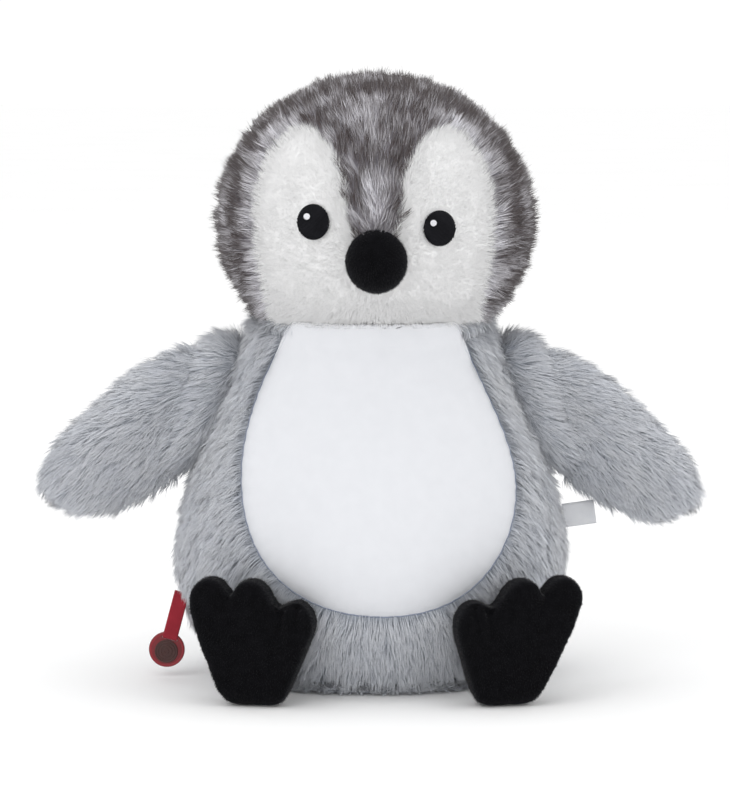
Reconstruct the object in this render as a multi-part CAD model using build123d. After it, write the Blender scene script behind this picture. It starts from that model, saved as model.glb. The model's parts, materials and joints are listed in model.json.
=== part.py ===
from build123d import *
import math
import os

# A sitting plush penguin, in millimetres.
# It faces -Y, +Z is up, and the floor is z = 0. Left and right are as seen from the front.
# Plush surfaces are modelled at half the depth of their pile.

os.makedirs("parts", exist_ok=True)

# Gaps
SEAM_GAP = 0.3  # between sewn panels, and between a cover and its filling
JOINT_GAP = 0.4  # between pieces that move against each other
PLUSH = 2.5  # backing and half the pile
VELVET = 1.5

# Body: (height, half width) of its level sections
BODY_OUTLINE = [
    (0, 66),
    (5, 73.5),
    (14, 79.5),
    (27, 88),
    (42, 94),
    (58, 96.5),
    (85, 92.5),
    (110, 84.5),
    (135, 74),
    (160, 65),
    (180, 59),
    (200, 54),
]
BODY_DEPTH_RATIO = 0.88
BODY_REACH = 140  # half size of blocks that cut the body

# Belly panel outline, seen from the front, down its left side and up its right: (x, z)
BELLY_OUTLINE = [
    (-36, 184),
    (-58, 141),
    (-64.3, 105),
    (-55, 70),
    (-32, 49),
    (4, 40.8),
    (41, 48),
    (65, 72),
    (72, 98),
    (63, 134),
    (42, 184),
]
PRISM_TOP_Z = 230  # above the neck
PRISM_BOTTOM_Z = 140  # below the chin

# Head
HEAD_CENTRE = (2.2, -5, 228)
HEAD_RADIUS = 76
HEAD_HALF_HEIGHT = 69.5
NECK_OPENING_Z = 170

# Neck: the ring where head and body are sewn together
NECK_SEAM_Z = 179
NECK_RING_HEIGHT = 7
NECK_RING_THICKNESS = 1.5

# Face outline from the neck up to the beak: (distance from the middle, height)
FACE_MIDDLE_X = 1.4
FACE_HALF_OUTLINE = [
    (46, 172),
    (53, 203),
    (56, 230),
    (48, 262),
    (33, 273),
    (21, 265),
    (13, 245),
    (9, 224),
]
FACE_NOTCH_Z = 216
FOREHEAD_HALF_WIDTH = 22

# Beak
BEAK_CENTRE = (2.4, -80, 211.7)
BEAK_HALF_SIZE = (14.2, 14.2, 14.8)

# Eyes, stitched proud of the face
EYE_HALF_WIDTH = 7.7
EYE_HALF_HEIGHT = 8.7
EYE_THICKNESS = 0.9
EYES = {"left": (-27.6, 230), "right": (32.4, 227)}
HIGHLIGHT_RADIUS = 1.5
HIGHLIGHT_OFFSET = (-3, 2.6)
HIGHLIGHT_THICKNESS = 0.5

# Wings: sections along the wing, each parallel to the side seam that it is sewn into
WING_SEAM_TOP = (65, 168)
WING_SEAM_BOTTOM = (90, 97)
# (distance out from the seam, middle of the section along it, half length, half thickness)
WING_SECTIONS = [
    (1, -1.5, 34.5, 1.6),
    (8, 4, 38, 4.5),
    (17, 10.5, 40.5, 8),
    (35, 25, 41, 12.5),
    (50, 39, 32, 12.5),
    (60, 48, 22, 10.5),
    (68, 54, 12, 7),
    (74, 57, 4, 3),
]
WING_DROOP = {"left": 0.0, "right": 0.06}  # extra drop for each millimetre outwards
WING_REACH = {"left": 1.0, "right": 0.965}

# Feet: standing on their heels, soles to the front
FOOT_THICKNESS = 20
FOOT_Y = -87
FOOT_HEEL_X = {"left": -55, "right": 63}
FOOT_YAW = {"left": -10, "right": 12}
FOOT_LEAN = {"left": -0.06, "right": 0.06}  # shift outwards for each millimetre of height
# Outline from the heel round the outer side: (distance outwards from the heel, height).
# The heel itself is rounded off at the floor.
FOOT_OUTLINE = [
    (0, -4),
    (11, -1),
    (20.5, 13),
    (27.5, 28),
    (33, 43),
    (34, 55),
    (27.5, 61),
    (20, 58.5),
    (14.5, 53),
    (11, 59),
    (6, 61),
    (0, 59),
    (-5, 52.5),
    (-9.5, 48),
    (-18, 50.5),
    (-26, 43),
    (-25, 32),
    (-18, 13),
    (-10, -1),
]

# Zip under the seat, running left to right
ZIP_LENGTH = 112
ZIP_SLOT_LENGTH = 126
ZIP_SLOT_WIDTH = 9
TAPE_LENGTH = 124
TAPE_WIDTH = 12
TAPE_THICKNESS = 0.6
TAPE_TO_TEETH = 0.1
TOOTH_PITCH = 2.8
TOOTH_SIZE = (1.2, 2.0, 1.0)
TEETH_HALF_GAP = 0.55  # from the zip's centre line to a row of teeth
SLIDER_LENGTH = 9
SLIDER_WIDTH = 7.5
SLIDER_PLATE = 0.6
SLIDER_WEB = (2, 0.4)  # the post between the plates: length and width
SLIDER_WEB_INSET = 1.2
SLIDER_REST_X = 50
STOP_X = 59
STOP_LENGTH = 2
STOP_HEIGHT = 2.2
PULL_LENGTH = 22
PULL_WIDTH = 5
PULL_THICKNESS = 0.7
PULL_HINGE_X = 2  # from the slider's middle
PULL_HOLE_RADIUS = 1.2
PULL_HOLE_INSET = 4
BASE_THICKNESS = 2.5
FILLING_BOTTOM_Z = 6

# Round tag on a ribbon loop, in the left side seam
TAG_SEAM = (-95.5, -16, 38)
TAG_LEAN = 15  # degrees outwards from hanging straight down
RIBBON_WIDTH = 6.5
RIBBON_THICKNESS = 0.5
RIBBON_LENGTH = 19
TAG_RADIUS = 8.8
TAG_THICKNESS = 1.6
TAG_SLOT_DEPTH = 1.6  # height of the slot that the ribbon passes through
TAG_SLOT_MARGIN = 0.5  # beside the ribbon
TAG_OVERLAP = 3  # from the disc's top edge to the ribbon's end
TAG_TO_RIBBON = 0.2

# Care label in the right side seam, under the wing
LABEL_SEAM = (96.6, 1, 79)
LABEL_SIZE = (16, 0.7, 12)
LABEL_LIFT = 8  # degrees that its free end is raised


def ellipse_body(outline, inset=0.0):
    """A solid through level ellipses, drawn in by inset all round."""
    sections = [
        Pos(0, 0, z) * Ellipse(half - inset, half * BODY_DEPTH_RATIO - inset)
        for z, half in outline
    ]
    return loft(sections)


def ellipsoid(centre, half_sizes):
    return Pos(*centre) * scale(Sphere(1), by=half_sizes)


def head_solid(grow=0.0):
    radius = HEAD_RADIUS + grow
    return ellipsoid(HEAD_CENTRE, (radius, radius, HEAD_HALF_HEIGHT + grow))


def pushed_out(points, amount, closed=False):
    """The points of an outline that runs anticlockwise, each moved outwards by amount."""
    moved = []
    last = len(points) - 1
    for i, (x, z) in enumerate(points):
        before = points[i - 1] if closed or i > 0 else points[i]
        after = points[(i + 1) % len(points)] if closed or i < last else points[i]
        run_x, run_z = after[0] - before[0], after[1] - before[1]
        length = math.hypot(run_x, run_z)
        moved.append((x + amount * run_z / length, z - amount * run_x / length))
    return moved


def forward_prism(face, depth=BODY_REACH):
    """A face drawn in X and Z, carried from y = 0 to the front."""
    return extrude(face, amount=depth)


def half_space(side, gap=SEAM_GAP / 2):
    """A block that holds everything with x, or y, on one side of zero."""
    size = 2 * BODY_REACH
    places = {
        "left": (-BODY_REACH - gap, 0, size / 2),
        "right": (BODY_REACH + gap, 0, size / 2),
        "front": (0, -BODY_REACH - gap, size / 2),
        "back": (0, BODY_REACH + gap, size / 2),
    }
    block = (size, 2 * size, 2 * size) if side in ("left", "right") else (2 * size, size, 2 * size)
    return Pos(*places[side]) * Box(*block)


def neck_pivot():
    """The point on the head's upright axis about which its neck seam is nearly a sphere."""
    below = NECK_SEAM_Z - HEAD_CENTRE[2]
    pivot_z = HEAD_CENTRE[2] + below * (1 - (HEAD_RADIUS / HEAD_HALF_HEIGHT) ** 2)
    across = HEAD_RADIUS * math.sqrt(1 - (below / HEAD_HALF_HEIGHT) ** 2)
    reach = math.hypot(across, NECK_SEAM_Z - pivot_z)
    return (HEAD_CENTRE[0], HEAD_CENTRE[1], pivot_z), reach


def belly_prism(grow=0.0):
    """The space in front of the body inside the belly seam."""
    outline = pushed_out(BELLY_OUTLINE, grow)
    curve = Spline(outline)
    first, last = outline[0], outline[-1]
    collar = Polyline(last, (last[0], PRISM_TOP_Z), (first[0], PRISM_TOP_Z), first)
    return forward_prism(Plane.XZ * make_face(curve + collar))


def face_prism(grow=0.0):
    """The space in front of the head inside the seam of the white face."""
    right = [(FACE_MIDDLE_X + x, z) for x, z in FACE_HALF_OUTLINE]
    left = [(FACE_MIDDLE_X - x, z) for x, z in FACE_HALF_OUTLINE]
    outline = pushed_out(right + [(FACE_MIDDLE_X, FACE_NOTCH_Z)] + left[::-1], grow)
    first, last = outline[0], outline[-1]
    hem = Polyline(last, (last[0], PRISM_BOTTOM_Z), (first[0], PRISM_BOTTOM_Z), first)
    return forward_prism(Plane.XZ * make_face(Spline(outline) + hem))


def torso_pieces(cup_radius, pivot):
    """The grey and white body covers and the filling inside them."""
    cup = Pos(*pivot) * Sphere(cup_radius)
    cover = ellipse_body(BODY_OUTLINE) - ellipse_body(BODY_OUTLINE, PLUSH) - cup
    floor_cut = Pos(0, 0, -BODY_REACH + BASE_THICKNESS + SEAM_GAP) * Box(
        4 * BODY_REACH, 4 * BODY_REACH, 2 * BODY_REACH
    )
    sides = cover - floor_cut
    belly = sides & belly_prism()
    front = (sides - belly_prism(SEAM_GAP)) & half_space("front")
    back = sides & half_space("back")

    base = ellipse_body(BODY_OUTLINE) & Pos(0, 0, BASE_THICKNESS / 2) * Box(
        2 * BODY_REACH, 2 * BODY_REACH, BASE_THICKNESS
    )
    base -= Box(ZIP_SLOT_LENGTH, ZIP_SLOT_WIDTH, 4 * BASE_THICKNESS)

    filling_floor = Pos(0, 0, -BODY_REACH + FILLING_BOTTOM_Z) * Box(
        4 * BODY_REACH, 4 * BODY_REACH, 2 * BODY_REACH
    )
    filling = ellipse_body(BODY_OUTLINE, PLUSH + SEAM_GAP) - filling_floor
    filling -= Pos(*pivot) * Sphere(cup_radius + SEAM_GAP)
    return {
        "belly_panel": belly,
        "body_front_panel_left": front & half_space("left"),
        "body_front_panel_right": front & half_space("right"),
        "body_back_panel_left": back & half_space("left"),
        "body_back_panel_right": back & half_space("right"),
        "base_panel": base,
        "body_stuffing_pod": filling,
    }


def neck_pieces(inner_radius, pivot):
    outer = Pos(*pivot) * Sphere(inner_radius + NECK_RING_THICKNESS)
    inner = Pos(*pivot) * Sphere(inner_radius)
    band = Pos(pivot[0], pivot[1], NECK_SEAM_Z - NECK_RING_HEIGHT / 2) * Box(
        2 * BODY_REACH, 2 * BODY_REACH, NECK_RING_HEIGHT
    )
    return {"neck_seam_roll": (outer - inner) & band}


def head_pieces():
    """The head's covers and filling, with the stitched eyes and the beak."""
    opening = Pos(0, 0, NECK_OPENING_Z - BODY_REACH) * Box(
        4 * BODY_REACH, 4 * BODY_REACH, 2 * BODY_REACH
    )
    cover = head_solid() - head_solid(-PLUSH) - opening
    rest = cover - face_prism(SEAM_GAP)
    gusset = Pos(FACE_MIDDLE_X, 0, HEAD_CENTRE[2]) * Box(
        2 * FOREHEAD_HALF_WIDTH, 4 * BODY_REACH, 4 * BODY_REACH
    )
    wide_gusset = Pos(FACE_MIDDLE_X, 0, HEAD_CENTRE[2]) * Box(
        2 * (FOREHEAD_HALF_WIDTH + SEAM_GAP), 4 * BODY_REACH, 4 * BODY_REACH
    )
    pieces = {
        "face_panel": cover & face_prism(),
        "forehead_panel": rest & gusset,
        "head_side_panel_left": (rest - wide_gusset) & half_space("left"),
        "head_side_panel_right": (rest - wide_gusset) & half_space("right"),
        "head_stuffing_pod": head_solid(-PLUSH - SEAM_GAP),
    }

    clear = head_solid(SEAM_GAP)
    beak = ellipsoid(BEAK_CENTRE, BEAK_HALF_SIZE)
    beak_inside = ellipsoid(BEAK_CENTRE, tuple(half - VELVET for half in BEAK_HALF_SIZE))
    beak_filling = ellipsoid(
        BEAK_CENTRE, tuple(half - VELVET - SEAM_GAP for half in BEAK_HALF_SIZE)
    )
    pieces["beak_cover"] = beak - beak_inside - clear
    pieces["beak_stuffing"] = beak_filling - clear

    eye_base = SEAM_GAP
    eye_top = eye_base + EYE_THICKNESS
    stitched = head_solid(eye_top) - head_solid(eye_base)
    light = head_solid(eye_top + SEAM_GAP + HIGHLIGHT_THICKNESS) - head_solid(eye_top + SEAM_GAP)
    for side, (x, z) in EYES.items():
        oval = Pos(x, z) * Rot(0, 0, 90) * Ellipse(EYE_HALF_HEIGHT, EYE_HALF_WIDTH)
        spot = Pos(x + HIGHLIGHT_OFFSET[0], z + HIGHLIGHT_OFFSET[1]) * Circle(HIGHLIGHT_RADIUS)
        pieces[f"eye_{side}"] = stitched & forward_prism(Plane.XZ * oval)
        pieces[f"eye_highlight_{side}"] = light & forward_prism(Plane.XZ * spot)
    return pieces


def wing_loft(side, sections):
    """A solid through upright oval sections that lie along the side seam."""
    sign = -1 if side == "left" else 1
    run = (WING_SEAM_BOTTOM[0] - WING_SEAM_TOP[0], WING_SEAM_BOTTOM[1] - WING_SEAM_TOP[1])
    length = math.hypot(*run)
    down = Vector(sign * run[0] / length, 0, run[1] / length)
    out = Vector(-sign * run[1] / length, 0, run[0] / length)
    middle = Vector(
        sign * (WING_SEAM_TOP[0] + WING_SEAM_BOTTOM[0]) / 2,
        0,
        (WING_SEAM_TOP[1] + WING_SEAM_BOTTOM[1]) / 2,
    )
    ovals = []
    for distance, shift, half_length, half_thickness in sections:
        shift += WING_DROOP[side] * distance
        origin = middle + out * distance * WING_REACH[side] + down * shift
        plane = Plane(origin=origin, x_dir=down, z_dir=out)
        ovals.append(plane * Ellipse(half_length, half_thickness))
    return loft(ovals)


def wing_pieces(side):
    outer = wing_loft(side, WING_SECTIONS)
    hollow = []
    filling = []
    for distance, shift, half_length, half_thickness in WING_SECTIONS[1:-1]:
        hollow.append((distance, shift, half_length - PLUSH, half_thickness - PLUSH))
        wall = PLUSH + SEAM_GAP
        filling.append((distance, shift, half_length - wall, half_thickness - wall))
    cover = outer - wing_loft(side, hollow)
    filling[0] = (filling[0][0] + SEAM_GAP,) + filling[0][1:]
    filling[-1] = (filling[-1][0] - SEAM_GAP,) + filling[-1][1:]
    return {
        f"wing_front_panel_{side}": cover & half_space("front"),
        f"wing_back_panel_{side}": cover & half_space("back"),
        f"wing_stuffing_{side}": wing_loft(side, filling),
    }


def foot_solid(lean, inset=0.0):
    """A foot in its own frame: heel at the origin, outer side towards +X, sole towards -Y."""
    outline = [(x + lean * z, z) for x, z in FOOT_OUTLINE]
    outline = pushed_out(outline, -inset, closed=True)
    sole = make_face(Spline(outline, periodic=True))
    slab = extrude(Plane.XZ * sole, amount=FOOT_THICKNESS, both=True)
    half = FOOT_THICKNESS / 2 - inset
    heel_z = FOOT_THICKNESS / 2
    top_z = 4 * FOOT_THICKNESS
    heel = ThreePointArc((half, heel_z), (0, heel_z - half), (-half, heel_z))
    sides = Polyline((-half, heel_z), (-half, top_z), (half, top_z), (half, heel_z))
    profile = make_face(heel + sides)
    return slab & extrude(Plane.YZ * profile, amount=BODY_REACH, both=True)


def place_foot(side, piece):
    if side == "left":
        piece = mirror(piece, about=Plane.YZ)
    return Pos(FOOT_HEEL_X[side], FOOT_Y, 0) * Rot(0, 0, FOOT_YAW[side]) * piece


def foot_pieces(side):
    lean = FOOT_LEAN[side]
    cover = foot_solid(lean) - foot_solid(lean, VELVET)
    pieces = {
        "foot_sole_panel": cover & half_space("front"),
        "foot_upper_panel": cover & half_space("back"),
        "foot_stuffing": foot_solid(lean, VELVET + SEAM_GAP),
    }
    return {f"{name}_{side}": place_foot(side, piece) for name, piece in pieces.items()}


def zip_pieces():
    """The zip in the slit of the base panel, closed, with its slider at the right."""
    tape_z = BASE_THICKNESS + SEAM_GAP + TAPE_THICKNESS / 2
    row_y = TEETH_HALF_GAP + TOOTH_SIZE[1] / 2
    tape_inner = TEETH_HALF_GAP + TOOTH_SIZE[1] + TAPE_TO_TEETH
    pieces = {}
    for side, sign in (("front", -1), ("back", 1)):
        tape_y = sign * (tape_inner + TAPE_WIDTH / 2)
        pieces[f"zip_tape_{side}"] = Pos(0, tape_y, tape_z) * Box(
            TAPE_LENGTH, TAPE_WIDTH, TAPE_THICKNESS
        )
        count = int(ZIP_LENGTH / TOOTH_PITCH)
        start = -(count - 1) * TOOTH_PITCH / 2 + sign * TOOTH_PITCH / 4
        teeth = [
            Pos(start + i * TOOTH_PITCH, sign * row_y, tape_z) * Box(*TOOTH_SIZE)
            for i in range(count)
        ]
        pieces[f"zip_teeth_{side}"] = Compound(children=teeth)
    stop = Box(STOP_LENGTH, 2 * (tape_inner - TAPE_TO_TEETH), STOP_HEIGHT)
    stops = [Pos(sign * STOP_X, 0, tape_z) * stop for sign in (-1, 1)]
    pieces["zip_end_stops"] = Compound(children=stops)

    inside_height = TOOTH_SIZE[2] + 2 * JOINT_GAP
    plate = Box(SLIDER_LENGTH, SLIDER_WIDTH, SLIDER_PLATE)
    plate_z = inside_height / 2 + SLIDER_PLATE / 2
    web = Pos(SLIDER_LENGTH / 2 - SLIDER_WEB_INSET, 0, 0) * Box(
        *SLIDER_WEB, inside_height + SLIDER_PLATE
    )
    slider = Pos(0, 0, plate_z) * plate + Pos(0, 0, -plate_z) * plate + web
    pieces["zip_slider"] = Pos(SLIDER_REST_X, 0, tape_z) * slider

    pull_z = tape_z - inside_height / 2 - SLIDER_PLATE - JOINT_GAP - PULL_THICKNESS / 2
    tab = Pos(-PULL_LENGTH / 2, 0, 0) * Box(PULL_LENGTH, PULL_WIDTH, PULL_THICKNESS)
    tab -= Pos(PULL_HOLE_INSET - PULL_LENGTH, 0, 0) * Cylinder(
        PULL_HOLE_RADIUS, 2 * PULL_THICKNESS
    )
    pieces["zip_pull"] = Pos(SLIDER_REST_X + PULL_HINGE_X, 0, pull_z) * tab
    return pieces


def tag_pieces():
    """A round tag that hangs in a ribbon loop."""
    disc_drop = RIBBON_LENGTH + TAG_RADIUS - TAG_OVERLAP
    layer_y = TAG_THICKNESS / 2 + RIBBON_THICKNESS / 2 + TAG_TO_RIBBON
    layers = [
        Pos(0, sign * layer_y, -RIBBON_LENGTH / 2)
        * Box(RIBBON_WIDTH, RIBBON_THICKNESS, RIBBON_LENGTH)
        for sign in (-1, 1)
    ]
    bridge = Box(RIBBON_WIDTH, 2 * layer_y + RIBBON_THICKNESS, RIBBON_THICKNESS)
    ends = [Pos(0, 0, -RIBBON_THICKNESS / 2), Pos(0, 0, -RIBBON_LENGTH + RIBBON_THICKNESS / 2)]
    ribbon = layers[0] + layers[1] + ends[0] * bridge + ends[1] * bridge
    disc = Pos(0, 0, -disc_drop) * Rot(90, 0, 0) * Cylinder(TAG_RADIUS, TAG_THICKNESS)
    disc -= Pos(0, 0, -RIBBON_LENGTH) * Box(
        RIBBON_WIDTH + 2 * TAG_SLOT_MARGIN, 3 * TAG_THICKNESS, TAG_SLOT_DEPTH
    )
    place = Pos(*TAG_SEAM) * Rot(0, TAG_LEAN, 0)
    return {"tag_ribbon": place * ribbon, "tag_disc": place * disc}


def label_pieces():
    """A folded label that stands out from the side seam."""
    label = Pos(LABEL_SIZE[0] / 2, 0, 0) * Box(*LABEL_SIZE)
    return {"care_label": Pos(*LABEL_SEAM) * Rot(0, -LABEL_LIFT, 0) * label}


def build():
    pivot, head_reach = neck_pivot()
    ring_radius = head_reach + JOINT_GAP
    cup_radius = ring_radius + NECK_RING_THICKNESS + JOINT_GAP
    pieces = {}
    pieces.update(torso_pieces(cup_radius, pivot))
    pieces.update(zip_pieces())
    pieces.update(neck_pieces(ring_radius, pivot))
    pieces.update(head_pieces())
    for side in ("left", "right"):
        pieces.update(wing_pieces(side))
        pieces.update(foot_pieces(side))
    pieces.update(tag_pieces())
    pieces.update(label_pieces())
    print("neck pivot", [round(v, 2) for v in pivot], "reach", round(head_reach, 2))
    return pieces


PIECES = build()
for name, piece in PIECES.items():
    export_step(piece, f"parts/{name}.step")
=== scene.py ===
import json
import math
from collections import namedtuple

import bmesh
import bpy
import numpy as np
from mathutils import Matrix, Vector
from mathutils.bvhtree import BVHTree
from mathutils.kdtree import KDTree


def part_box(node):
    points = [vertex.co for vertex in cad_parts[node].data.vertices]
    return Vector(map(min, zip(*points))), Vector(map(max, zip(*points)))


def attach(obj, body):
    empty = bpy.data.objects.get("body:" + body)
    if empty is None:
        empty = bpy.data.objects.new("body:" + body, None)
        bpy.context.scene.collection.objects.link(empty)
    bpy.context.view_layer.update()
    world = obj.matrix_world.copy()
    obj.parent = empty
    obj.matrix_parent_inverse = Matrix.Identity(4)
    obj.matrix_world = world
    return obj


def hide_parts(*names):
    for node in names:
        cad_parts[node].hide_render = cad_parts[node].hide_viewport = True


# A sitting plush penguin: fur grown strand by strand on sewn panels, a smooth belly,
# velvet feet and beak, stitched eyes, and its tag, label and zip.

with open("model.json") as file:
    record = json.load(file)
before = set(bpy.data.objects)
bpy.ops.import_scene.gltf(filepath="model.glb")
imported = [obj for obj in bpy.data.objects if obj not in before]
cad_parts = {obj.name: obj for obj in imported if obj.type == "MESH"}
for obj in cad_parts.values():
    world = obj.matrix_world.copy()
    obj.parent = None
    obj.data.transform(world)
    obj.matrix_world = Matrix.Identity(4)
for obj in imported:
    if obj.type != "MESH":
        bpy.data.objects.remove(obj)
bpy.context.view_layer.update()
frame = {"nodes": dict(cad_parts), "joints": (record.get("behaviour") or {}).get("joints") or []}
NODES = frame["nodes"]
MM = 0.001
SIDES = ("left", "right")
FLOOR_CLEARANCE = 0.4 * MM


# ---- small geometry helpers

def box_of(node):
    """The middle of a CAD node's box, and half its size."""
    low, high = (Vector(corner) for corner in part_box(node))
    return (low + high) / 2, (high - low) / 2


def centre_of(node):
    return box_of(node)[0]


def joint_of(name):
    return next(joint for joint in frame["joints"] if joint["name"] == name)


def tree_of(*names):
    """One search tree over the surfaces of several CAD nodes."""
    points, faces = [], []
    for name in names:
        mesh = NODES[name].data
        start = len(points)
        points += [v.co.copy() for v in mesh.vertices]
        faces += [[start + i for i in p.vertices] for p in mesh.polygons]
    return BVHTree.FromPolygons(points, faces)


def shade(mesh, smooth=True):
    mesh.polygons.foreach_set("use_smooth", [smooth] * len(mesh.polygons))


def new_piece(name, mesh):
    piece = bpy.data.objects.new(name, mesh)
    bpy.context.scene.collection.objects.link(piece)
    return piece


def paint(piece, *materials):
    """Gives a piece these materials and no others."""
    piece.data.materials.clear()
    for material in materials:
        piece.data.materials.append(material)


def claim(piece, body, slot, *replaced):
    """Attaches a piece to the body it rides on, and hides the CAD nodes it stands for. Its finish,
    slot, is not used.
    """
    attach(piece, body)
    if replaced:
        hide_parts(*replaced)
    return piece


def place_piece(mesh, material, body, slot, *replaced, smooth=True):
    piece = new_piece(mesh.name, mesh)
    shade(mesh, smooth)
    paint(piece, material)
    return claim(piece, body, slot, *replaced)


def mesh_from(name, points, faces):
    mesh = bpy.data.meshes.new(name)
    mesh.from_pydata([tuple(p) for p in points], [], faces)
    mesh.update()
    return mesh


def hit_from_front(tree, x, z):
    """Where a line from far in front meets a surface, and the surface's direction there."""
    return tree.ray_cast(Vector((x, -1, z)), Vector((0, 1, 0)))


def apply_modifiers(piece):
    """Turns a piece's modifiers into mesh, so that none is left."""
    depsgraph = bpy.context.evaluated_depsgraph_get()
    made = bpy.data.meshes.new_from_object(piece.evaluated_get(depsgraph))
    old = piece.data
    piece.modifiers.clear()
    piece.data = made
    bpy.data.meshes.remove(old)
    return piece


def modify(piece, kind, **values):
    """Applies one modifier with these values."""
    modifier = piece.modifiers.new(kind, kind)
    for key, value in values.items():
        setattr(modifier, key, value)
    return apply_modifiers(piece)


def mesh_of(name, work):
    """A mesh made from a bmesh, which ends here."""
    mesh = bpy.data.meshes.new(name)
    work.to_mesh(mesh)
    work.free()
    return mesh


def remeshed(name, work, voxel, smoothing):
    """A piece with a bmesh's shape, on an even grid and smoothed."""
    piece = new_piece(name, mesh_of(name, work))
    modify(piece, "REMESH", mode="VOXEL", voxel_size=voxel)
    modify(piece, "SMOOTH", factor=0.5, iterations=smoothing)
    shade(piece.data)
    return piece


def remeshed_copy(name, node, voxel, smoothing=2):
    work = bmesh.new()
    work.from_mesh(NODES[node].data)
    return remeshed(name, work, voxel, smoothing)


def read_points(mesh, what="co"):
    """The places of a mesh's vertices, or with "normal" their outward directions."""
    flat = np.empty(len(mesh.vertices) * 3)
    mesh.vertices.foreach_get(what, flat)
    return flat.reshape(-1, 3)


def write_points(mesh, points):
    mesh.vertices.foreach_set("co", points.ravel())
    mesh.update()


def unit(vectors):
    return vectors / np.maximum(np.linalg.norm(vectors, axis=1, keepdims=True), 1e-12)


WAVES = 9


def waves(points, size, seed):
    """Smooth random numbers, mostly from -1 to 1, that change over about size metres."""
    rng = np.random.default_rng(seed)
    total = np.zeros(len(points))
    for _ in range(WAVES):
        direction = rng.normal(size=3)
        direction *= rng.uniform(0.6, 1.6) / np.linalg.norm(direction)
        total += np.sin(points @ (direction * 2 * math.pi / size) + rng.uniform(0, 2 * math.pi))
    return total / math.sqrt(WAVES)


# ---- materials

def new_material(name, roughness, specular=0.3, sheen=0.0, tint=(1, 1, 1), metallic=0.0):
    material = bpy.data.materials.new(name)
    material.use_nodes = True
    values = {
        "Roughness": roughness, "Specular IOR Level": specular, "Metallic": metallic,
        "Sheen Weight": sheen, "Sheen Roughness": 0.5, "Sheen Tint": (*tint, 1),
    }
    for key, value in values.items():
        shader_of(material).inputs[key].default_value = value
    return material


def add_node(material, kind, **values):
    node = material.node_tree.nodes.new(kind)
    for key, value in values.items():
        if key in node.inputs:
            node.inputs[key].default_value = value
        else:
            setattr(node, key, value)
    return node


def link(material, source, target):
    material.node_tree.links.new(source, target)


def shader_of(material):
    return material.node_tree.nodes["Principled BSDF"]


def noise(material, **values):
    """The strength of a noise that keeps its place on the object."""
    place = add_node(material, "ShaderNodeTexCoord")
    pattern = add_node(material, "ShaderNodeTexNoise", **values)
    link(material, place.outputs["Object"], pattern.inputs["Vector"])
    return pattern.outputs["Fac"]


def mottled_colour(material, low, high, scale):
    """Colours the material with soft patches between two colours."""
    ramp = add_node(material, "ShaderNodeValToRGB")
    for stop, position, colour in zip(ramp.color_ramp.elements, (0.3, 0.7), (low, high)):
        stop.position = position
        stop.color = (*colour, 1)
    link(material, noise(material, Scale=scale, Detail=4.0), ramp.inputs["Fac"])
    link(material, ramp.outputs["Color"], shader_of(material).inputs["Base Color"])


def noise_bump(material, scale, strength, distance):
    bump = add_node(material, "ShaderNodeBump", Strength=strength, Distance=distance)
    grain = noise(material, Scale=scale, Detail=6.0, Roughness=0.65)
    link(material, grain, bump.inputs["Height"])
    link(material, bump.outputs["Normal"], shader_of(material).inputs["Normal"])


def fur_material(name, sheen=0.25):
    """Takes its colour from the strands, which are paler or darker from root to tip."""
    material = new_material(name, 0.75, 0.15, sheen)
    tone = add_node(material, "ShaderNodeVertexColor", layer_name="tone")
    link(material, tone.outputs["Color"], shader_of(material).inputs["Base Color"])
    return material


def velvet_material(name, colour, tint):
    material = new_material(name, 0.95, 0.05, 0.1, tint)
    mottled_colour(material, [0.55 * c for c in colour], colour, 260.0)
    noise_bump(material, 1500.0, 0.5, 0.4 * MM)
    return material


def cloth_material(name, low, high, roughness=0.85, sheen=0.2, specular=0.3):
    material = new_material(name, roughness, specular, sheen)
    mottled_colour(material, low, high, 140.0)
    noise_bump(material, 2200.0, 0.25, 0.2 * MM)
    return material


def smooth_material(name, colour, roughness, metallic=0.0):
    """Plastic, rubber or metal, slightly uneven in colour."""
    material = new_material(name, roughness, 0.5, metallic=metallic)
    mottled_colour(material, [0.88 * c for c in colour], colour, 300.0)
    return material


GREY_FUR = fur_material("grey_fur")
FROSTED_FUR = fur_material("frosted_fur", sheen=0.15)
WHITE_FUR = fur_material("white_fur", sheen=0.3)
BLACK_FUR = fur_material("black_fur", sheen=0.1)
GREY_SKIN = cloth_material("grey_backing", (0.36, 0.39, 0.45), (0.44, 0.47, 0.52))
FROSTED_SKIN = cloth_material("frosted_backing", (0.30, 0.28, 0.30), (0.44, 0.42, 0.45))
FACE_SKIN = cloth_material("white_backing", (0.93, 0.93, 0.93), (0.95, 0.95, 0.95))
BELLY_CLOTH = cloth_material("belly_cloth", (0.69, 0.70, 0.73), (0.71, 0.72, 0.75), 0.9, 0.1)
# Dark blue-grey thread round the belly: the real seam's stitching, darkened as painted shadow of
# the grey fur's edge there.
SEAM_THREAD_AND_SHADOW = cloth_material("seam_thread_and_painted_shadow", (0.20, 0.23, 0.30), (0.26, 0.29, 0.36), 0.8, 0.1)
VELVET = velvet_material("black_velvet", (0.0045, 0.0045, 0.0055), (0.2, 0.2, 0.25))
FIBRE = cloth_material("white_fibre", (0.7, 0.7, 0.7), (0.85, 0.85, 0.85), 0.95, 0.2)
BLACK_THREAD = cloth_material(
    "black_thread", (0.004, 0.004, 0.006), (0.010, 0.010, 0.013), 0.6, 0, 0.12
)
WHITE_THREAD = cloth_material("white_thread", (0.8, 0.8, 0.84), (0.9, 0.9, 0.92), 0.5, 0)
RED_WEBBING = cloth_material("red_webbing", (0.27, 0.010, 0.022), (0.36, 0.016, 0.032), 0.7, 0.1)
WHITE_LABEL = cloth_material("white_label", (0.66, 0.67, 0.70), (0.72, 0.73, 0.75), 0.6, 0.05)
GREY_TAPE = cloth_material("grey_tape", (0.30, 0.32, 0.36), (0.38, 0.40, 0.44), 0.8, 0.1)
RED_RUBBER = smooth_material("red_rubber", (0.20, 0.010, 0.016), 0.45)
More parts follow.
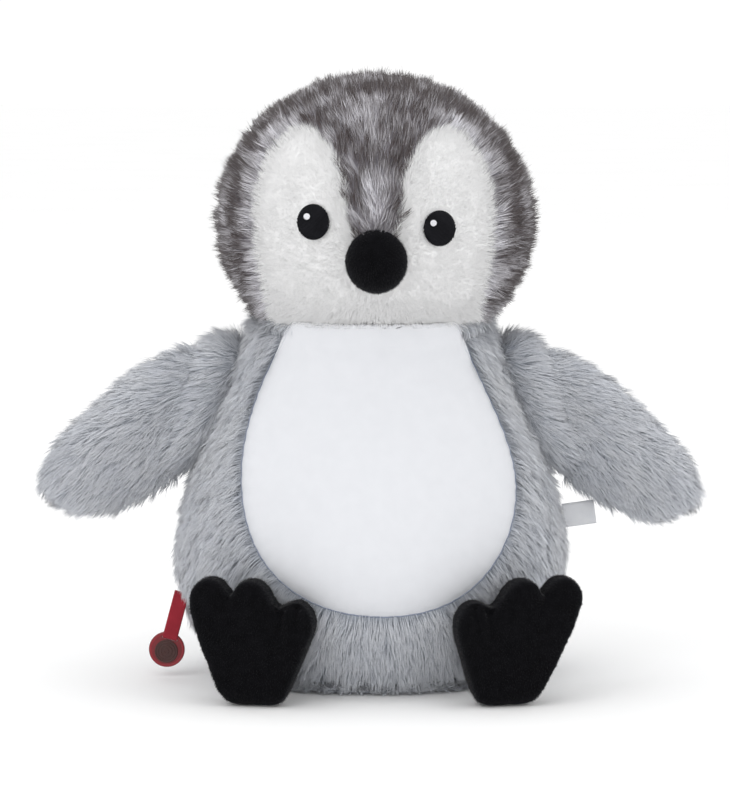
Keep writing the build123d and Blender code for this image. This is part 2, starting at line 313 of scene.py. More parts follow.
RIM_RUBBER = smooth_material("rim_rubber", (0.30, 0.012, 0.022), 0.4)
BROWN_RUBBER = smooth_material("brown_rubber", (0.060, 0.018, 0.015), 0.5)
ZIP_PLASTIC = smooth_material("zip_plastic", (0.42, 0.44, 0.48), 0.35)
ZIP_METAL = smooth_material("zip_metal", (0.62, 0.62, 0.60), 0.3, 1.0)


# ---- threads and webbing

def run_along(line, closed):
    """The direction in which a line runs at each of its places."""
    if closed:
        return unit(np.roll(line, -1, axis=0) - np.roll(line, 1, axis=0))
    return unit(np.gradient(line, axis=0))


def outward(mesh):
    """Turns every face of a closed mesh outwards."""
    work = bmesh.new()
    work.from_mesh(mesh)
    bmesh.ops.recalc_face_normals(work, faces=work.faces)
    work.to_mesh(mesh)
    work.free()
    return mesh


def ring_faces(start, rings, size, closed):
    """The faces between rings of points, and at both ends where the tube isn't closed."""
    faces = []
    for ring in range(rings if closed else rings - 1):
        low, high = start + ring * size, start + (ring + 1) % rings * size
        for k in range(size):
            after = (k + 1) % size
            faces.append((low + k, low + after, high + after, high + k))
    if not closed:
        faces.append([start + k for k in reversed(range(size))])
        faces.append([start + (rings - 1) * size + k for k in range(size)])
    return faces


def tubes(name, lines, radius, sides=6, closed=False):
    """One mesh of round threads along several lines, each line a list of places."""
    points, faces = [], []
    for line in lines:
        line = np.array(line)
        run = run_along(line, closed)
        across = unit(np.cross(run, (0, 1, 0)))
        up = np.cross(across, run)
        faces += ring_faces(len(points), len(line), sides, closed)
        for place, side, rise in zip(line, across, up):
            for k in range(sides):
                angle = 2 * math.pi * k / sides
                points.append(place + radius * (side * math.cos(angle) + rise * math.sin(angle)))
    return mesh_from(name, points, faces)


STRAP_COLUMNS = 10
STEPS_PER_RIB = 4
STRAP_RIB = 0.07  # height of its ribs and selvedges, as a share of its thickness


def strap(name, path, across, width, thickness, rib_pitch, closed=False):
    """A woven band along a path, ribbed across and a little thicker at its edges."""
    path = np.array(path)
    ends = np.roll(path, -1, axis=0) if closed else path[1:]
    steps = np.linalg.norm(ends - path[: len(ends)], axis=1)
    marks = np.concatenate([[0], np.cumsum(steps)])
    known = np.vstack([path, path[:1]]) if closed else path
    count = int(marks[-1] / (rib_pitch / STEPS_PER_RIB))
    places = np.linspace(0, marks[-1], count, endpoint=not closed)
    line = np.stack([np.interp(places, marks, known[:, k]) for k in range(3)], axis=1)
    across = np.array(across)
    face = unit(np.cross(run_along(line, closed), across))
    columns = np.linspace(-1, 1, STRAP_COLUMNS)
    around = [(c, 1) for c in columns] + [(c, -1) for c in columns[::-1]]
    points = []
    for place, up, mark in zip(line, face, places):
        rib = math.sin(2 * math.pi * mark / rib_pitch)
        for column, side in around:
            swell = 1 + STRAP_RIB * rib * (abs(column) < 0.8) + 2 * STRAP_RIB * (abs(column) > 0.7)
            offset = across * (column * width / 2) + up * (side * swell * thickness / 2)
            points.append(place + offset)
    faces = ring_faces(0, count, len(around), closed)
    return outward(mesh_from(name, points, faces))


STITCH_STEPS = 10


def half_turn(centre, along, level, bulge, side):
    """Places round half a circle that bulges along a direction, from one side to the other."""
    places = []
    for step in range(STITCH_STEPS + 1):
        angle = math.pi * step / STITCH_STEPS
        rise = level + bulge * math.sin(angle)
        places.append(centre + along * rise - side * (abs(bulge) * math.cos(angle)))
    return places


def satin_stitch(node, pitch, dome, lean, material, slot):
    """An embroidered patch: close rows of thread over a CAD node's outline."""
    tree = tree_of(node)
    centre, half = box_of(node)
    across = Vector((math.cos(lean), 0, math.sin(lean)))
    along = Vector((-math.sin(lean), 0, math.cos(lean)))
    lines = []
    rows = int(2 * half.x / pitch)
    for row in range(rows):
        u = (2 * (row + 0.5) / rows - 1) * half.x
        a = (along.x / half.x) ** 2 + (along.z / half.z) ** 2
        b = 2 * u * (across.x * along.x / half.x ** 2 + across.z * along.z / half.z ** 2)
        c = u * u * ((across.x / half.x) ** 2 + (across.z / half.z) ** 2) - 1
        inside = b * b - 4 * a * c
        if inside <= 0:
            continue
        line = []
        for step in range(STITCH_STEPS + 1):
            share = 2 * step / STITCH_STEPS - 1
            v = (-b + share * 0.97 * math.sqrt(inside)) / (2 * a)
            place = centre + across * u + along * v
            hit = hit_from_front(tree, place.x, place.z)[0] or tree.find_nearest(place)[0]
            out = ((place.x - centre.x) / half.x) ** 2 + ((place.z - centre.z) / half.z) ** 2
            hit.y -= dome * (1 - min(1, out) ** 2)
            line.append(hit)
        lines.append(line)
    mesh = tubes(f"{node}_stitches", lines, 0.54 * pitch)
    return place_piece(mesh, material, "head", slot, node)


# ---- fur

MOST_STRANDS = 19500  # in one piece, which the export leaves whole
MOST_SPIKES = 48000  # the same, for short straight strands
BAND_NAMES = {1: [""], 2: ["_upper", "_lower"], 3: ["_upper", "_middle", "_lower"]}
ROOT_DEPTH = 0.4 * MM
TUFTS = 0.07  # for each strand


def sow(skin, density, seed):
    """Random points all over a skin, with its outward directions there."""
    rng = np.random.default_rng(seed)
    mesh = skin.data
    mesh.calc_loop_triangles()
    corners = np.array([list(triangle.vertices) for triangle in mesh.loop_triangles])
    points = read_points(mesh)
    a, b, c = (points[corners[:, k]] for k in range(3))
    area = np.linalg.norm(np.cross(b - a, c - a), axis=1) / 2
    count = int(area.sum() * density)
    pick = rng.choice(len(corners), size=count, p=area / area.sum())
    u, v = rng.random(count), rng.random(count)
    over = u + v > 1
    u[over], v[over] = 1 - u[over], 1 - v[over]
    shares = np.stack([1 - u - v, u, v], axis=1)[:, :, None]
    roots = (points[corners[pick]] * shares).sum(axis=1)
    return roots, unit((read_points(mesh, "normal")[corners[pick]] * shares).sum(axis=1))


def nearest_of(roots, names, last_margin=0.0):
    """The number of the CAD node nearest to each root. The last must be nearer by a margin."""
    away = np.stack([distance_to(roots, name) for name in names], axis=1)
    away[:, -1] += last_margin
    return np.argmin(away, axis=1)


def distance_to(roots, *names):
    tree = tree_of(*names)
    return np.array([tree.find_nearest(Vector(root))[3] for root in roots])


def clump_leaders(roots, rng):
    """For each strand, the index of the strand that its tuft gathers round."""
    leaders = rng.choice(len(roots), size=max(2, int(len(roots) * TUFTS)), replace=False)
    tree = KDTree(len(leaders))
    for index in leaders:
        tree.insert(roots[index], int(index))
    tree.balance()
    return np.array([tree.find(root)[1] for root in roots])


def strand_faces(rings):
    """The faces of a closed three-sided strand, and where their corners lie on it."""
    faces = [(2, 1, 0)]
    places = [(2 / 3, 0), (1 / 3, 0), (0, 0)]
    for ring in range(rings - 1):
        low, high = ring / rings, (ring + 1) / rings
        for k in range(3):
            start, after = 3 * ring + k, 3 * ring + (k + 1) % 3
            faces.append((start, after, after + 3, start + 3))
            places += [(k / 3, low), ((k + 1) / 3, low), ((k + 1) / 3, high), (k / 3, high)]
    last = 3 * (rings - 1)
    for k in range(3):
        faces.append((last + k, last + (k + 1) % 3, 3 * rings))
        along = (rings - 1) / rings
        places += [(k / 3, along), ((k + 1) / 3, along), ((k + 0.5) / 3, 1)]
    return faces, np.array(places)


def strand_mesh(name, lines, widths, normals, colours, seed):
    """One mesh of many tapered strands. lines holds each strand's places, root to tip."""
    rng = np.random.default_rng(seed)
    count, rings = len(lines[0]), len(lines) - 1
    run = unit(lines[1] - lines[0])
    side = unit(np.cross(run, unit(normals + 0.7 * rng.normal(size=(count, 3)))))
    other = np.cross(run, side)
    size = 3 * rings + 1
    points = np.empty((count, size, 3))
    shading = np.empty((count, size, 3))
    levels = np.ones((count, size, 4), dtype=np.float32)
    for k in range(3):
        angle = 2 * math.pi * k / 3
        spoke = side * math.cos(angle) + other * math.sin(angle)
        for ring in range(rings):
            points[:, 3 * ring + k] = lines[ring] + spoke * (widths[ring] / 2)[:, None]
            shading[:, 3 * ring + k] = unit(normals + 0.35 * spoke)
            levels[:, 3 * ring + k, :3] = colours[ring]
    points[:, -1] = lines[-1]
    shading[:, -1] = normals
    levels[:, -1, :3] = colours[rings]
    points[:, :, 2] = np.maximum(points[:, :, 2], FLOOR_CLEARANCE)

    faces, places = strand_faces(rings)
    pattern = np.array([i for face in faces for i in face])
    starts = np.cumsum([0] + [len(face) for face in faces[:-1]])
    mesh = bpy.data.meshes.new(name)
    mesh.vertices.add(count * size)
    mesh.vertices.foreach_set("co", points.ravel())
    mesh.loops.add(count * len(pattern))
    index = (np.arange(count) * size)[:, None] + pattern
    mesh.loops.foreach_set("vertex_index", index.ravel())
    mesh.polygons.add(count * len(faces))
    first = (np.arange(count) * len(pattern))[:, None] + starts
    mesh.polygons.foreach_set("loop_start", first.ravel())
    shade(mesh)
    mesh.update(calc_edges=True)
    mesh.color_attributes.new("tone", "FLOAT_COLOR", "POINT")
    mesh.color_attributes["tone"].data.foreach_set("color", levels.ravel())

    grid = math.ceil(math.sqrt(count))
    cell = np.stack([np.arange(count) % grid, np.arange(count) // grid], axis=1)
    spread = cell[:, None, :] + 0.15 + 0.7 * places[None]
    layer = mesh.uv_layers.new(name="OFBake")
    layer.data.foreach_set("uv", (spread / grid).ravel())
    mesh.normals_split_custom_set_from_vertices(shading.reshape(-1, 3).tolist())
    return mesh


# How a plush's strands stand, and what colours they have. length and stand are numbers, or
# functions of the roots. stand is the upright part of a strand's direction, beside a comb
# of 1. comb is a function of the roots that gives the combed direction, and colour one that
# gives the colours at root, middle and tip. clump is how far tips gather into tufts.
Pile = namedtuple(
    "Pile", "length width stand comb colour material clump stray droop bent",
    defaults=(0.35, 0.25, 0.4, True),
)


def value_at(value, roots):
    """A pile's measure at each root: either one number or a function of the roots."""
    return value(roots) if callable(value) else np.full(len(roots), value)


def grow(name, roots, normals, pile, seed):
    """One mesh of strands on the given roots."""
    rng = np.random.default_rng(seed)
    count = len(roots)
    comb = pile.comb(roots)
    comb = unit(comb - normals * np.sum(comb * normals, axis=1, keepdims=True))
    sway = np.stack([waves(roots, 0.02, seed + 10 + k) for k in range(3)], axis=1)
    leader = clump_leaders(roots, rng)
    tuft = rng.normal(size=(count, 3))[leader]
    jitter = rng.normal(size=(count, 3))
    stand = value_at(pile.stand, roots)[:, None]
    stray = pile.stray * (0.5 * sway + 0.6 * tuft + 0.6 * jitter)
    lean = unit(normals * stand + comb + stray)
    length = value_at(pile.length, roots) * rng.uniform(0.7, 1.1, count)
    length *= 1 + 0.1 * waves(roots, 0.015, seed)
    middles = roots + lean * (0.5 * length)[:, None]
    bend = unit(lean + pile.droop * comb - 0.25 * pile.droop * normals)
    tips = middles + bend * (0.5 * length)[:, None]
    pull = pile.clump * rng.uniform(0.3, 1.0, (count, 1))
    tips = tips + (tips[leader] - tips) * pull
    middles = middles + (middles[leader] - middles) * pull * 0.4
    width = pile.width * rng.uniform(0.7, 1.2, count)
    colours = pile.colour(roots, tuft, rng)
    starts = roots - normals * ROOT_DEPTH
    if pile.bent:
        lines, widths = [starts, middles, tips], [width, 0.8 * width]
    else:
        lines, widths, colours = [starts, tips], [width], [colours[0], colours[2]]
    mesh = strand_mesh(name, lines, widths, normals, colours, seed)
    mesh.materials.append(pile.material)
    return new_piece(name, mesh)


def plush(name, roots, normals, pile, seed, body, slot):
    """A panel's fur, in as few level bands as keep each piece within its most strands."""
    most = MOST_STRANDS if pile.bent else MOST_SPIKES
    bands = BAND_NAMES[math.ceil(len(roots) / most)]
    parts = np.array_split(np.argsort(-roots[:, 2], kind="stable"), len(bands))
    for number, (band, part) in enumerate(zip(bands, parts)):
        claim(grow(name + band, roots[part], normals[part], pile, seed + number), body, slot)


def cover_panels(panels, shares, roots, normals, pile, seeds, body, slot):
    """Grows each sewn panel's fur on its own share of the roots."""
    for panel, mine, seed in zip(panels, shares, seeds):
        name = panel.replace("panel", "fur")
        plush(name, roots[mine], normals[mine], pile, seed, body, slot)


def combed_down(roots):
    return np.tile((0.0, 0.0, -1.0), (len(roots), 1))


def blend(tone, *ranges):
    """For each range of two colours, the colour at each strand's tone, from 0 to 1."""
    tone = tone[:, None]
    return [np.array(low) * (1 - tone) + np.array(high) * tone for low, high in ranges]


def grey_colour(roots, tuft, rng):
    """Pale blue-grey, a little darker at the roots."""
    tone = 0.5 + 0.1 * tuft[:, 0] + 0.14 * waves(roots, 0.035, 5)
    return blend(
        np.clip(tone + 0.1 * rng.normal(size=len(roots)), 0, 1),
        ((0.42, 0.45, 0.52), (0.52, 0.55, 0.60)),
        ((0.60, 0.63, 0.69), (0.70, 0.72, 0.76)),
        ((0.70, 0.72, 0.77), (0.83, 0.84, 0.86)),
    )


def white_colour(roots, tuft, rng):
    tip = ((0.96, 0.96, 0.96), (0.98, 0.98, 0.98))
    tone = np.clip(0.5 + 0.2 * rng.normal(size=len(roots)), 0, 1)
    return blend(tone, ((0.92, 0.92, 0.93), (0.95, 0.95, 0.95)), tip, tip)


def black_colour(roots, tuft, rng):
    tip = ((0.006, 0.006, 0.007), (0.014, 0.014, 0.017))
    tone = np.clip(0.5 + 0.25 * rng.normal(size=len(roots)), 0, 1)
    return blend(tone, ((0.003, 0.003, 0.004), (0.006, 0.006, 0.007)), tip, tip)


# ---- stuffed skins

INFLATE_FRAMES = 20
CLOTH = {
    "use_pressure": True, "uniform_pressure_force": 4.0, "mass": 0.15,
    "tension_stiffness": 20, "compression_stiffness": 20, "bending_stiffness": 2,
}


def inflate(piece, most):
    """Blows a closed cloth up as its filling does, no point moving further than most."""
    start = read_points(piece.data)
    cloth = piece.modifiers.new("cloth", "CLOTH")
    for key, value in CLOTH.items():
        setattr(cloth.settings, key, value)
    cloth.settings.effector_weights.gravity = 0
    cloth.point_cache.frame_start = 1
    cloth.point_cache.frame_end = INFLATE_FRAMES
    for number in range(1, INFLATE_FRAMES + 1):
        bpy.context.scene.frame_set(number)
    apply_modifiers(piece)
    bpy.context.scene.frame_set(1)
    points = read_points(piece.data)
    move = points - start
    length = np.linalg.norm(move, axis=1, keepdims=True)
    write_points(piece.data, start + move * np.minimum(1, most / np.maximum(length, 1e-9)))


def push_out(piece, distance):
    mesh = piece.data
    write_points(mesh, read_points(mesh) + read_points(mesh, "normal") * distance)


def stuffed_skin(skin, cover, swell, material, body, slot, *replaced):
    """Makes a filling's shape into the cloth round it: as thick as its cover, and blown up."""
    push_out(skin, cover)
    inflate(skin, swell)
    modify(skin, "SUBSURF", levels=1)
    points = read_points(skin.data)
    points[:, 2] = np.maximum(points[:, 2], FLOOR_CLEARANCE)
    write_points(skin.data, points)
    shade(skin.data)
    paint(skin, material)
    return claim(skin, body, slot, *replaced)


def fibre_filling(node, body, voxel, shrink=1.0 * MM):
    """A lumpy mass of fibre inside a cover."""
    filling = remeshed_copy(f"{node}_fibre", node, voxel)
    points = read_points(filling.data)
    middle = np.array(centre_of(node))
    lumps = shrink + 0.8 * MM * (1 + waves(points, 0.03, 7))
    write_points(filling.data, points - unit(points - middle) * lumps[:, None])
    paint(filling, FIBRE)
    return claim(filling, body, "fibre_filling", node)


# ---- body

NECK_PIVOT = np.array(joint_of("head_nod")["pos_m"])
BODY_DENSITY = 1.7e6  # strands per square metre
BACK_SHARE = 0.65  # of them on the back
BELLY_OVERLAP = 1.1 * MM  # how far the fur's roots go under the belly panel's edge
PANEL_DEPTH = 5 * MM  # from the panels' surface to the roots


def away_from_belly(roots):
    """Fur combed out from the belly panel in front, and down elsewhere."""
    low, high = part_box("belly_panel")
    field = np.zeros_like(roots)
    front = np.clip(-roots[:, 1] / abs(low[1]), 0, 1)
    middle_x, middle_z = (low[0] + high[0]) / 2, low[2] + 0.42 * (high[2] - low[2])
    outwards = 30 * np.exp(-roots[:, 2] / (6 * MM))
    field[:, 0] = 14 * front * (roots[:, 0] - middle_x) + outwards * roots[:, 0]
    field[:, 1] = outwards * roots[:, 1]
    field[:, 2] = -1 + 5 * front * (roots[:, 2] - middle_z)
    return field


def beside_seams(roots):
    """Upright beside the seams of the belly, wings and seat, and lying down elsewhere."""
    to_belly = np.maximum(distance_to(roots, "belly_panel") - PANEL_DEPTH, 0)
    to_wing = distance_to(roots, "wing_stuffing_left", "wing_stuffing_right")
    stand = 0.6 + 0.7 * np.exp(-to_belly / (3 * MM)) + 0.8 * np.exp(-to_wing / (9 * MM))
    return stand + 1.2 * np.exp(-roots[:, 2] / (7 * MM))


def longer_below(roots):
    """Long enough at the bottom to reach the floor."""
    return 9.5 * MM + 4.5 * MM * np.exp(-roots[:, 2] / (8 * MM))


def make_body():
    shape = remeshed_copy("body_backing", "body_stuffing_pod", 4 * MM)
    panels = [f"body_{place}_panel_{side}" for place in ("front", "back") for side in SIDES]
    skin = stuffed_skin(shape, 1 * MM, 1.8 * MM, GREY_SKIN, "torso", "grey_plush", *panels)
    roots, normals = sow(skin, BODY_DENSITY, 100)
    cup = np.linalg.norm(roots - NECK_PIVOT, axis=1)
    opening = cup.min() + 1 * MM
    keep = (cup > opening) & (normals[:, 2] > -0.9)
    roots, normals = roots[keep], normals[keep]
    owner = nearest_of(roots, panels + ["belly_panel"], BELLY_OVERLAP)
    thinned = np.random.default_rng(101).random(len(roots)) < BACK_SHARE
    pile = Pile(
        longer_below, 0.38 * MM, beside_seams, away_from_belly, grey_colour, GREY_FUR,
        droop=0.5, clump=0.3, stray=0.3,
    )
    shares = [
        (owner == number) & (thinned if "back" in panel else True)
        for number, panel in enumerate(panels)
    ]
    seeds = range(110, 150, 10)
    cover_panels(panels, shares, roots, normals, pile, seeds, "torso", "grey_plush")
    fibre_filling("body_stuffing_pod", "torso", 6 * MM)


BELLY_SPOKES = 192
BELLY_RINGS = 44
BELLY_MIDDLE = 0.47  # of its height, where its rings start
BELLY_EDGE = 0.9985  # how near the last ring comes to the panel's outline
OUTLINE_TESTS = 16
BELLY_THICKNESS = 1.2 * MM
BELLY_CROWN = 0.8 * MM
BELLY_RISE_DEPTH = 20 * MM  # how far down the panel is drawn up over the neck seam
BELLY_OVER_NECK = 1.015  # how far out it passes the neck seam there, as a share
BELLY_ABOVE_NECK = 0.2 * MM
BELLY_NARROWING = 9  # per metre that it is drawn up
SEWN_BELOW = 0.5  # the share of that above which the seam's thread, darkened as painted shadow, is out of sight
SEAM_RADIUS = 0.5 * MM
BELLY_TUCK = 1.8 * MM
BELLY_TUCK_WIDTH = 3.5 * MM
PUCKER_HEIGHT = 0.22 * MM
PUCKERS = 58  # round the seam


def belly_outline(tree, middle, reach, count):
    """How far the belly panel goes from its middle, in each of count directions."""
    radii = []
    for i in range(count):
        angle = 2 * math.pi * i / count
        low, high = 0.0, reach
        for _ in range(OUTLINE_TESTS):
            test = (low + high) / 2
            x, z = middle[0] + test * math.cos(angle), middle[1] + test * math.sin(angle)
            hit = hit_from_front(tree, x, z)[0]
            low, high = (test, high) if hit else (low, test)
        radii.append(low)
    return radii


def drawn_over_neck(place, share, seam, half):
    """Lifts a place at the neck opening in front of the neck seam, as high as its top."""
    lift = share * (seam.z + half.z + BELLY_ABOVE_NECK - place.z)
    place.z += lift
    place.x = seam.x + (place.x - seam.x) * (1 - BELLY_NARROWING * lift)
    beside = (place.x - seam.x) / half.x
    clear = seam.y - half.y * math.sqrt(max(0, BELLY_OVER_NECK ** 2 - beside ** 2))
    place.y += (min(place.y, clear) - place.y) * min(1, 3 * share)
    return place


def make_belly():
    """The smooth front panel: crowned, tucked in along its seam, with fine puckers there."""
    node = "belly_panel"
    tree = tree_of(node)
    low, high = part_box(node)
    middle = ((low[0] + high[0]) / 2, low[2] + BELLY_MIDDLE * (high[2] - low[2]))
    radii = belly_outline(tree, middle, 1.2 * (high[2] - low[2]), BELLY_SPOKES)
    pivot = Vector(NECK_PIVOT)
    opening = (tree.find_nearest(pivot)[0] - pivot).length + 1 * MM
    neck_seam, neck_half = box_of("neck_seam_roll")
    points, rises = [], []
    for ring in range(BELLY_RINGS + 1):
        share = math.sin(0.5 * math.pi * ring / BELLY_RINGS)
        for i, radius in enumerate(radii):
            angle = 2 * math.pi * i / BELLY_SPOKES
            reach = min(share, BELLY_EDGE) * radius
            x = middle[0] + reach * math.cos(angle)
            z = middle[1] + reach * math.sin(angle)
            place, normal, _, _ = hit_from_front(tree, x, z)
            from_edge = (1 - share) * radius
            crown = BELLY_CROWN * (1 - share ** 4)
            tuck = BELLY_TUCK * math.exp(-from_edge / BELLY_TUCK_WIDTH)
            pucker = math.sin(PUCKERS * angle + 2 * math.sin(7 * angle)) * PUCKER_HEIGHT
            pucker *= math.exp(-from_edge / (2 * BELLY_TUCK_WIDTH))
            spot = place + normal * (crown - tuck + pucker)
            below = max(0, (place - pivot).length - opening)
            rise = max(0, 1 - below / BELLY_RISE_DEPTH) ** 2
            points.append(drawn_over_neck(spot, rise, neck_seam, neck_half))
            rises.append(rise)
            if ring == 0:
                break
    faces = []
    for i in range(BELLY_SPOKES):
        after = (i + 1) % BELLY_SPOKES
        faces.append((0, 1 + i, 1 + after))
        for ring in range(1, BELLY_RINGS):
            inner, outer = 1 + (ring - 1) * BELLY_SPOKES, 1 + ring * BELLY_SPOKES
            faces.append((inner + i, outer + i, outer + after, inner + after))
    # The seam is a dark tube round the panel's edge: partly its real stitching, partly painted
    # shadow where the grey fur meets the belly. It is left out near the neck.
    edge = points[-BELLY_SPOKES:]
    from_top = [(i + BELLY_SPOKES // 4) % BELLY_SPOKES for i in range(BELLY_SPOKES)]
    sewn = [tuple(edge[i]) for i in from_top if rises[i - BELLY_SPOKES] < SEWN_BELOW]
    seam = outward(tubes("belly_seam_and_painted_shadow", [sewn], SEAM_RADIUS))
    place_piece(seam, SEAM_THREAD_AND_SHADOW, "torso", "white_short_plush")
    belly = new_piece("belly_cover", mesh_from("belly_cover", points, faces))
    modify(belly, "SOLIDIFY", thickness=BELLY_THICKNESS, offset=-1)
    shade(outward(belly.data))
    paint(belly, BELLY_CLOTH)
    claim(belly, "torso", "white_short_plush", node)


# ---- head

HEAD_DENSITY = 1.45e6
FACE_DENSITY = 4.4e6
NAPE_DEPTH = 7 * MM  # of the fur under the head at the back, which shows when it nods
FACE_NAP = 2.4 * MM
FACE_FRINGE = 4.4 * MM  # added at its borders and over the neck seam
FACE_LIFT = 0.85  # how near the face cloth lies to the pile's surface
FRINGE_REACH = 7.5 * MM  # how far from the white face the fur stays pale
WEDGE_SLOPE = 0.45  # half width of the dark wedge between the eyes, for its height
WEDGE_TOP = 55 * MM  # above the beak's middle
BAND_HEIGHT = 19 * MM  # of the pale band, above the beak's middle
CROWN_DROP = 22 * MM  # of the pale patch, below the top of the head


def away_from_beak(roots):
    """Fur combed up and back from the beak, and out at the cheeks."""
    field = roots - np.array(centre_of("beak_cover"))
    field[:, 1] *= 0.6
    return unit(field)


def frosted_colour(roots, tuft, rng):
    """Lavender-white at the root and brown-grey at the tip, in patches, palest by the face."""
    patch = 0.26 * waves(roots, 0.024, 3) + 0.2 * tuft[:, 0]
    near_face = np.exp(-distance_to(roots, "face_panel") / FRINGE_REACH)
    beak, top = centre_of("beak_cover"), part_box("forehead_panel")[1][2]
    across, up = roots[:, 0] - beak.x, roots[:, 2] - beak.z
    in_front = roots[:, 1] < beak.y * 0.5
    wedge = in_front & (np.abs(across) < WEDGE_SLOPE * up + 6 * MM)
    streak = np.exp(-((across / (5 * MM)) ** 2)) * (up < WEDGE_TOP)
    band = np.exp(-(((up - BAND_HEIGHT) / (5 * MM)) ** 2))
    crown = (across / (20 * MM)) ** 2 + ((roots[:, 2] - top + CROWN_DROP) / (7 * MM)) ** 2
    pale = np.where(wedge, 0.38 * streak + 0.32 * band, 0.8 * near_face)
    pale += np.where(in_front, 0.5 * np.exp(-crown), 0)
    dark = 1.06 + patch - pale
    return blend(
        np.clip(dark + 0.17 * rng.normal(size=len(roots)), 0, 1),
        ((0.82, 0.81, 0.87), (0.38, 0.36, 0.41)),
        ((0.84, 0.83, 0.88), (0.110, 0.092, 0.092)),
        ((0.76, 0.74, 0.78), (0.034, 0.025, 0.024)),
    )


def make_face():
    """The white front of the head: short dense pile on a smooth cloth."""
    lining = tree_of("head_stuffing_pod")
    face = remeshed_copy("face_backing", "face_panel", 1.4 * MM, smoothing=6)
    points = read_points(face.data)
    near = np.array([lining.find_nearest(Vector(place))[0] for place in points])
    write_points(face.data, near + (points - near) * FACE_LIFT)
    paint(face, FACE_SKIN)
    claim(face, "head", "white_face_plush", "face_panel")

    roots, normals = sow(face, FACE_DENSITY, 230)
    outward = unit(roots - np.array(centre_of("head_stuffing_pod")))
    keep = np.sum(outward * normals, axis=1) > 0.1
    for side in SIDES:
        centre, half = box_of(f"eye_{side}")
        x, z = (roots[:, 0] - centre.x) / half.x, (roots[:, 2] - centre.z) / half.z
        keep &= x * x + z * z > 0.9
    borders = ["forehead_panel"] + [f"head_side_panel_{side}" for side in SIDES]
    neck_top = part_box("neck_seam_roll")[1][2]

    def near_neck(places):
        return np.exp(-((np.maximum(places[:, 2] - neck_top, 0) / (9 * MM)) ** 2))

    def longer_at_borders(places):
        to_border = np.maximum(distance_to(places, *borders) - 1 * MM, 0)
        near = np.exp(-to_border / (3 * MM)) + 1.5 * near_neck(places)
        return FACE_NAP + FACE_FRINGE * np.minimum(near, 1.5)

    def hanging_over_neck(places):
        return 1.1 - 0.45 * near_neck(places)

    pile = Pile(
        longer_at_borders, 0.32 * MM, hanging_over_neck, away_from_beak, white_colour,
        WHITE_FUR, clump=0.05, stray=0.2, bent=False,
    )
    plush("face_fur", roots[keep], normals[keep], pile, 231, "head", "white_face_plush")


EYE_STITCH_LEAN = 0.25  # in radians
HIGHLIGHT_OUT = 0.6 * MM  # on top of the eye's own stitches


def make_eyes():
    for side, lean in zip(SIDES, (EYE_STITCH_LEAN, -EYE_STITCH_LEAN)):
        satin_stitch(f"eye_{side}", 0.55 * MM, 0.9 * MM, lean, BLACK_THREAD, "black_thread")
        highlight = satin_stitch(
            f"eye_highlight_{side}", 0.3 * MM, 0.5 * MM, lean, WHITE_THREAD, "white_thread"
        )
        highlight.location.y -= HIGHLIGHT_OUT


def make_head():
    shape = remeshed_copy("head_backing", "head_stuffing_pod", 4 * MM)
    panels = ["forehead_panel"] + [f"head_side_panel_{side}" for side in SIDES]
    skin = stuffed_skin(
        shape, 0.7 * MM, 1.8 * MM, FROSTED_SKIN, "head", "frosted_plush", *panels
    )
    roots, normals = sow(skin, HEAD_DENSITY, 200)
    neck_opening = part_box("face_panel")[0][2] + 3 * MM
    keep = roots[:, 2] > neck_opening
    nape = ~keep & (roots[:, 2] > neck_opening - NAPE_DEPTH) & (roots[:, 1] > NECK_PIVOT[1])
    pile = Pile(
        10 * MM, 0.42 * MM, 1.1, away_from_beak, frosted_colour, FROSTED_FUR,
        clump=0.5, stray=0.38, droop=0.3,
    )
    owner = nearest_of(roots[keep], panels + ["face_panel"])
    cover_panels(
        panels, [owner == number for number in range(len(panels))], roots[keep],
        normals[keep], pile, range(201, 216, 5), "head", "frosted_plush",
    )
    plush("nape_fur", roots[nape], normals[nape], pile, 221, "head", "frosted_plush")
    fibre_filling("head_stuffing_pod", "head", 6 * MM)
    make_face()


# ---- neck

NECK_FRONT_HALF_WIDTH = 38 * MM  # the white part of the seam, under the face


def make_neck():
    """The seam between head and body, with the pile of the body's panels round it.

    The pile stays with the body, so the belly stays in front when the head turns.
    """
    ring = remeshed_copy("neck_seam_cloth", "neck_seam_roll", 0.9 * MM, smoothing=1)
    paint(ring, FACE_SKIN, GREY_SKIN)
    middle = centre_of("neck_seam_roll")

    def in_front(places):
        across = np.abs(places[:, 0] - middle.x)
        return (places[:, 1] < middle.y) & (across < NECK_FRONT_HALF_WIDTH)

    centres = np.array([polygon.center for polygon in ring.data.polygons])
    for polygon, white in zip(ring.data.polygons, in_front(centres)):
        polygon.material_index = 0 if white else 1
    claim(ring, "neck", "grey_plush", "neck_seam_roll")

    roots, normals = sow(ring, 2.2e6, 240)
    outward = roots - np.array(middle)
    outward[:, 2] = 0
    keep = np.sum(unit(outward) * normals, axis=1) > 0.35
    roots, normals = roots[keep], normals[keep]
    front = in_front(roots)
    white = Pile(
        1 * MM, 0.36 * MM, 0.9, combed_down, white_colour, WHITE_FUR,
        clump=0.05, stray=0.35, bent=False,
    )
    grey = Pile(8 * MM, 0.46 * MM, 0.9, combed_down, grey_colour, GREY_FUR, stray=0.3)
    plush("neck_fur_front", roots[front], normals[front], white, 241, "torso", "white_face_plush")
    plush("neck_fur_back", roots[~front], normals[~front], grey, 242, "torso", "grey_plush")


# ---- wings

WING_DENSITY = 1.9e6
WING_BACK_SHARE = 0.75
WING_ROOT_RADIUS = 10.5 * MM
WING_ROOT_OUT = 4.5 * MM  # from the seam to the middle of the gathered root
WING_ROOT_LEAN = 6 * MM  # further out at its lower end
WING_ROOT_TAPER = 0.25  # thinner there
WING_ROOT_STEPS = 6
WING_ROOT_SHARE = 0.195  # half its length, as a share of the seam's height


